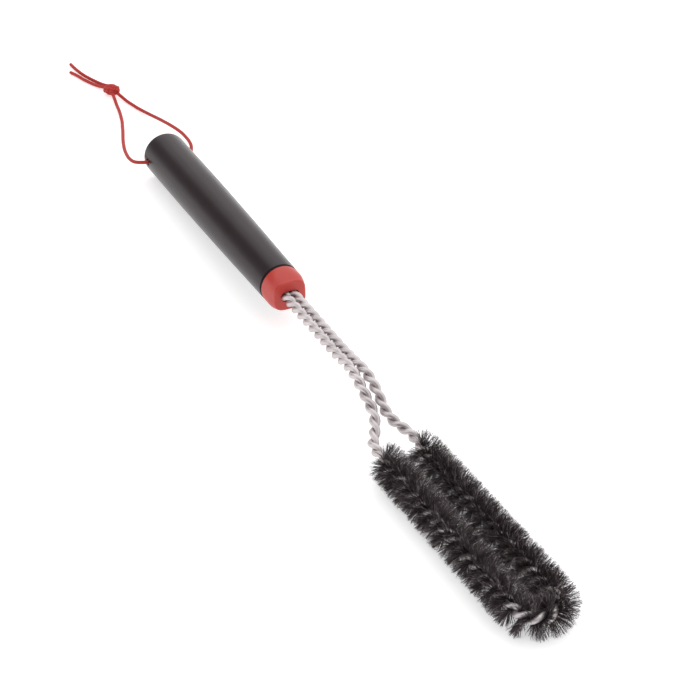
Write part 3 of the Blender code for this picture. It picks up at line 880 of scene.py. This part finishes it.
def thin_prisms(centres, across, forward, width, tint):
    """(points, faces, values) of filaments whose middle lines run through three points each."""
    count = len(width)
    reaches = (0.0, BELLY, 1.0)
    rings = []
    reach_values = []
    for centre, reach in zip(centres, reaches):
        centre[:, 2] = np.maximum(centre[:, 2], LOWEST_FILAMENT + 0.5 * width[:, 0])
        for corner in range(FILAMENT_CORNERS):
            angle = 2 * np.pi * corner / FILAMENT_CORNERS
            outward = math.cos(angle) * across + math.sin(angle) * forward
            rings.append(centre + width * (1.0 - FILAMENT_TAPER * reach) * outward)
            reach_values.append(np.full(count, reach))
    points = np.stack(rings, axis=1).reshape(-1, 3)
    per_filament = len(rings)
    values = {"reach": np.stack(reach_values, axis=1).ravel(), "tint": np.repeat(tint, per_filament)}
    base = (np.arange(count) * per_filament)[:, None]
    last_ring = per_filament - FILAMENT_CORNERS
    sides = []
    for low in range(0, last_ring, FILAMENT_CORNERS):
        high = low + FILAMENT_CORNERS
        for corner in range(FILAMENT_CORNERS):
            following = (corner + 1) % FILAMENT_CORNERS
            sides.append((low + corner, low + following, high + following, high + corner))
    quads = (base[:, None] + np.array(sides)[None]).reshape(-1, 4)
    tips = base + np.arange(last_ring, per_filament)[None]
    feet = base + np.arange(FILAMENT_CORNERS)[::-1][None]
    return points, quads.tolist() + tips.tolist() + feet.tolist(), values


# ---------------------------------------------------------------- studio


def make_camera():
    """The camera looks down on the brush from the side of its bristles' tip. Returns the
    direction that it looks in."""
    away = Vector((-math.sin(CAMERA_BEARING), math.cos(CAMERA_BEARING), 0.0))
    view = away * math.cos(CAMERA_ELEVATION) - Vector((0.0, 0.0, math.sin(CAMERA_ELEVATION)))
    data = bpy.data.cameras.new("camera")
    data.lens = LENS_MM
    data.sensor_width = SENSOR_MM
    data.clip_start = 0.01
    camera = link("camera", data)
    camera.location = CAMERA_AIM - view * CAMERA_DISTANCE
    camera.rotation_euler = view.to_track_quat("-Z", "Y").to_euler()
    bpy.context.scene.camera = camera
    return view


def softbox(name, centre, size, power):
    """A large soft rectangular light that faces the brush."""
    data = bpy.data.lights.new(name, "AREA")
    data.shape = "RECTANGLE"
    data.size, data.size_y = size
    data.energy = power
    light = link(name, data)
    light.location = centre
    light.rotation_euler = (SOFTBOX_AIM - centre).to_track_quat("-Z", "Y").to_euler()


def make_surround():
    """A bright white surround with two dark patches: one where the photographer stands, and a
    black flag whose reflection draws the dark stripe along the handle."""
    surround = bpy.data.worlds.new("studio")
    surround.use_nodes = True
    tree = surround.node_tree
    background = tree.nodes["Background"]
    background.inputs["Color"].default_value = (*SURROUND_COLOUR, 1.0)
    place = tree.nodes.new("ShaderNodeTexCoord")
    kept = []
    for direction, outer, inner, remaining in DARK_PATCHES:
        facing = tree.nodes.new("ShaderNodeVectorMath")
        facing.operation = "DOT_PRODUCT"
        facing.inputs[1].default_value = direction
        tree.links.new(place.outputs["Generated"], facing.inputs[0])
        falloff = tree.nodes.new("ShaderNodeMapRange")
        falloff.interpolation_type = "SMOOTHSTEP"
        falloff.inputs["From Min"].default_value = outer
        falloff.inputs["From Max"].default_value = inner
        falloff.inputs["To Min"].default_value = 1.0
        falloff.inputs["To Max"].default_value = remaining
        tree.links.new(facing.outputs["Value"], falloff.inputs["Value"])
        kept.append(falloff.outputs["Result"])
    both = math_node(tree, "MULTIPLY", *kept)
    strength = math_node(tree, "MULTIPLY", both, SURROUND_STRENGTH)
    tree.links.new(strength, background.inputs["Strength"])
    bpy.context.scene.world = surround


def make_floor():
    """A wide sheet of pale paper that glows a little, as paper lit from all round does."""
    material, shader, tree = new_material("floor_paper", FLOOR_COLOUR, 0.9, specular=0.1)
    shader.inputs["Emission Color"].default_value = (1.0, 1.0, 1.0, 1.0)
    shader.inputs["Emission Strength"].default_value = FLOOR_GLOW
    bump(tree, shader, noise(tree, 300.0), 0.02, 0.001)
    side = FLOOR_HALF_SIDE
    corners = [(-side, -side, 0.0), (side, -side, 0.0), (side, side, 0.0), (-side, side, 0.0)]
    mesh = bpy.data.meshes.new("floor")
    mesh.from_pydata(corners, [], [(0, 1, 2, 3)])
    mesh.materials.append(material)
    floor = link("floor", mesh)
    floor.location.z = -FLOOR_DROP


def make_studio():
    """A pale floor, a white surround and two large soft lights, one behind and one to the left."""
    view = make_camera()
    away = Vector((view.x, view.y, 0.0)).normalized()
    right = Vector((away.y, -away.x, 0.0))
    up = Vector((0.0, 0.0, 1.0))
    for name, (rightward, farther, higher), size, power in SOFTBOXES:
        softbox(name, right * rightward + away * farther + up * higher, size, power)
    make_surround()
    make_floor()
    bpy.context.scene.view_settings.view_transform = "Standard"


make_studio()
make_cords()
make_handle(plastic("handle_plastic", (0.032, 0.0235, 0.0255), (0.028, 0.0205, 0.0225),
                    roughness=0.24, grain=5200.0, specular=0.18))
make_collar(plastic("collar_plastic", (0.50, 0.037, 0.025), (0.455, 0.032, 0.0215),
                    roughness=0.36, grain=4200.0, specular=0.55))
make_wires(steel("wire_steel", (0.64, 0.595, 0.60), (0.55, 0.51, 0.515), roughness=0.45))
make_bristles(bristle_material())
core_plastic = plastic("core_plastic", (0.006, 0.005, 0.006), (0.004, 0.003, 0.004),
                       roughness=0.6, grain=4000.0, specular=0.15)
crimp_steel = steel("crimp_steel", (0.6, 0.6, 0.6), (0.5, 0.5, 0.5), roughness=0.35)
finish_cad_nodes(core_plastic, crimp_steel)
